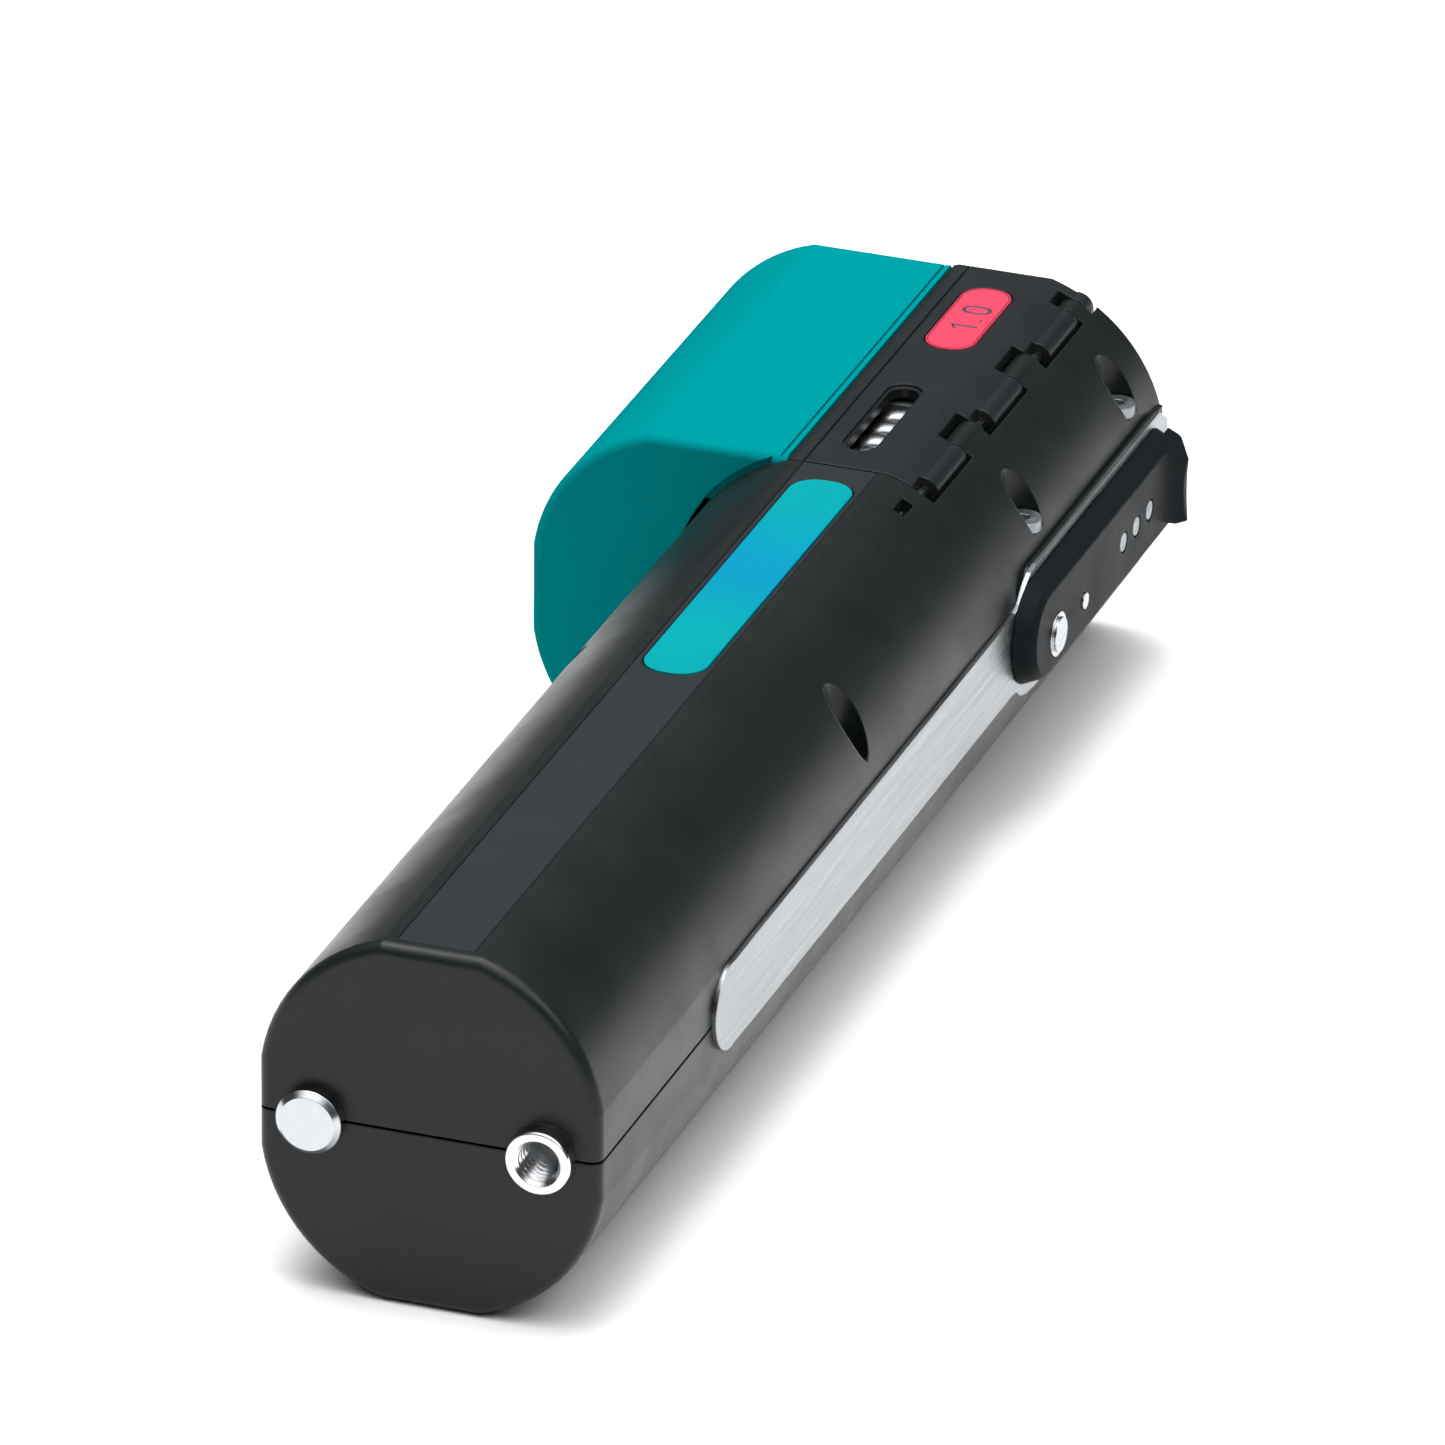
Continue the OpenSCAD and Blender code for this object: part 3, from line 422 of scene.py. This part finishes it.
# ---------- meshes made here ----------
def mesh_object(name, points, faces, material, smooth_angle=35):
    mesh = bpy.data.meshes.new(name)
    mesh.from_pydata([Vector(p) * MM for p in points], [], faces)
    mesh.update()
    mesh.materials.append(material)
    piece = bpy.data.objects.new(name, mesh)
    bpy.context.collection.objects.link(piece)
    mesh.shade_smooth()
    mesh.set_sharp_from_angle(angle=math.radians(smooth_angle))
    return piece


def lathe(name, centre, rows, segments, material):
    """A closed turned solid about Y. A row is (y, radius) or (y, function of the turn)."""
    cx, cz = centre
    points, faces = [], []
    for y, radius in rows:
        for s in range(segments):
            turn = s / segments
            r = radius(turn) if callable(radius) else radius
            a = 2 * math.pi * turn
            points.append((cx + r * math.sin(a), y, cz + r * math.cos(a)))
    for row in range(len(rows) - 1):
        for s in range(segments):
            t = (s + 1) % segments
            a, b = row * segments, (row + 1) * segments
            faces.append((a + s, b + s, b + t, a + t))
    faces.append(tuple(range(segments)))
    last = (len(rows) - 1) * segments
    faces.append(tuple(last + s for s in reversed(range(segments))))
    return mesh_object(name, points, faces, material)


def sweep(name, path, radius, sides, material, closed=False):
    """A round wire along path, a list of points, with capped ends or joined into a ring."""
    count = len(path)
    points, faces = [], []
    side = None
    for i, p in enumerate(path):
        ahead = Vector(path[(i + 1) % count] if closed else path[min(i + 1, count - 1)])
        behind = Vector(path[i - 1] if closed or i else path[0])
        along = (ahead - behind).normalized()
        if side is None:
            side = along.orthogonal()
        side = (side - along * side.dot(along)).normalized()
        up = along.cross(side)
        for j in range(sides):
            a = 2 * math.pi * j / sides
            points.append(Vector(p) + (side * math.cos(a) + up * math.sin(a)) * radius)
    for i in range(count if closed else count - 1):
        n = (i + 1) % count
        for j in range(sides):
            k = (j + 1) % sides
            faces.append((i * sides + j, i * sides + k, n * sides + k, n * sides + j))
    if not closed:
        faces.append(tuple(reversed(range(sides))))
        faces.append(tuple((count - 1) * sides + j for j in range(sides)))
    return mesh_object(name, points, faces, material, 60)


def make_threaded_bush(material):
    """The end bush with a real internal thread in place of its plain bore."""
    centre, pitch, minor, depth = (CONTACT_X, CONTACT_Z), 1.25, 3.32, 0.6
    mouth, bottom, step, run_out = -2.35, 7.6, 0.125, 0.5
    blind_end, hub_end, hub_r, rim_r, shoulder_y = 8, 9, 4.6, 5.45, 4

    def thread(y):
        def radius(turn):
            phase = ((y - mouth) / pitch - turn) % 1
            ridge = abs(2 * phase - 1)
            fade = min(1, (y - mouth) / run_out, (bottom - y) / run_out)
            return minor + depth * max(0, fade) * min(1, max(0, 1.25 * ridge - 0.12))
        return radius

    count = round((bottom - mouth) / step)
    wall = [(bottom - step * i, thread(bottom - step * i)) for i in range(count + 1)]
    lead_in = [(-3, 3.95), (-3, 5.0), (-2.9, 5.25), (-2.62, 5.42), (-2.4, rim_r)]
    rows = [(blind_end, 0.02), (blind_end, minor), *wall, *lead_in, (shoulder_y, rim_r),
            (shoulder_y, hub_r), (hub_end, hub_r), (hub_end, 0.02)]
    bush = lathe("charge_bush_threaded", centre, rows, 96, material)
    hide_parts("charge_bush")
    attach(bush, "housing")


def make_return_spring(material):
    """A flat-wire coil spring, which on the real tool shortens as the strip carriage comes back; this
    mesh has one fixed length.
    """
    low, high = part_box("return_spring")
    thick, wide, mean, pitch, start_turn = 1.3, 2.2, 4.1, 5.3, 46.5
    steps, sides, axis_z = 48, 24, 23.2
    start, end = low.y / MM + wide, high.y / MM - wide
    count = round((end - start) / pitch * steps)
    points, faces = [], []
    for i in range(count + 1):
        a = 2 * math.pi * i / steps + math.radians(start_turn)
        for j in range(sides):
            b = 2 * math.pi * j / sides
            r = mean + thick * math.cos(b)
            points.append((-r * math.cos(a), start + pitch * i / steps + wide * math.sin(b),
                           axis_z + r * math.sin(a)))
    for i in range(count):
        for j in range(sides):
            k = (j + 1) % sides
            a, b = i * sides, (i + 1) * sides
            faces.append((a + j, a + k, b + k, b + j))
    faces.append(tuple(reversed(range(sides))))
    faces.append(tuple(count * sides + j for j in range(sides)))
    spring = mesh_object("return_spring_coil", points, faces, material, 60)
    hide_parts("return_spring")
    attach(spring, "housing")
    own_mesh(spring)


def label_ring(box, inset, corner, steps=10):
    """Points round a rounded rectangle inside box, in millimetres."""
    (x0, y0), (x1, y1) = [(v.x / MM, v.y / MM) for v in box]
    x0, y0, x1, y1 = x0 + inset, y0 + inset, x1 - inset, y1 - inset
    ring = []
    for cx, cy, start in ((x1 - corner, y1 - corner, 0), (x0 + corner, y1 - corner, 90),
                          (x0 + corner, y0 + corner, 180), (x1 - corner, y0 + corner, 270)):
        for i in range(steps + 1):
            a = math.radians(start + 90 * i / steps)
            ring.append((cx + corner * math.cos(a), cy + corner * math.sin(a)))
    return ring


def make_digits(ink, rim):
    """A generic size number on the label, its tops to the left, and the label's fine rim. Each
    line is a flattened wire whose middle lies in the label's face; stroke is its half width."""
    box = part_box("size_label")
    top = box[1].z / MM
    rise, height, wire_sides = 0.045, 4.5, 10
    mid_x = (box[0].x + box[1].x) / 2 / MM + 0.25
    base, tip = mid_x + height / 2, mid_x - height / 2
    flag, flag_width, dot = 1.0, 1.2, 0.5

    def write(name, outline, closed, material, half_width):
        path = [(x, y, top) for x, y in outline]
        piece = sweep(name, path, half_width, wire_sides, material, closed)
        for vertex in piece.data.vertices:
            vertex.co.z = top * MM + (vertex.co.z - top * MM) * rise / half_width
        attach(piece, "cover")

    stroke = 0.32
    one, point, zero = 250.8, 253.7, 257.5
    write("digit_one", [(base, one), (tip, one), (tip + flag, one - flag_width)], False, ink, stroke)
    write("digit_point", [(base, point), (base - dot, point)], False, ink, stroke)
    ring, wide, turns = [], 1.35, 32
    for i in range(turns):
        a = 2 * math.pi * i / turns
        squared = (abs(math.cos(a)) ** 4 + abs(math.sin(a)) ** 4) ** -0.1
        ring.append((mid_x + height / 2 * math.cos(a) * squared,
                     zero + wide * math.sin(a) * squared))
    write("digit_zero", ring, True, ink, stroke)
    write("label_rim", label_ring(box, 0.28, 3.7), True, rim, 0.1)


make_camera()
make_floor()
make_light()
materials = dress_nodes()
bush_steel = turned_metal("bush_steel", srgb(210, 212, 214), 0.18, (CONTACT_X * MM, CONTACT_Z * MM))
make_threaded_bush(bush_steel)
make_return_spring(materials["spring_steel"])
make_digits(moulded_plastic("digit_ink", srgb(60, 60, 84), 0.45),
            gloss_plastic("label_rim_look", srgb(120, 40, 56), 0.35, Specular_IOR_Level=0.1))
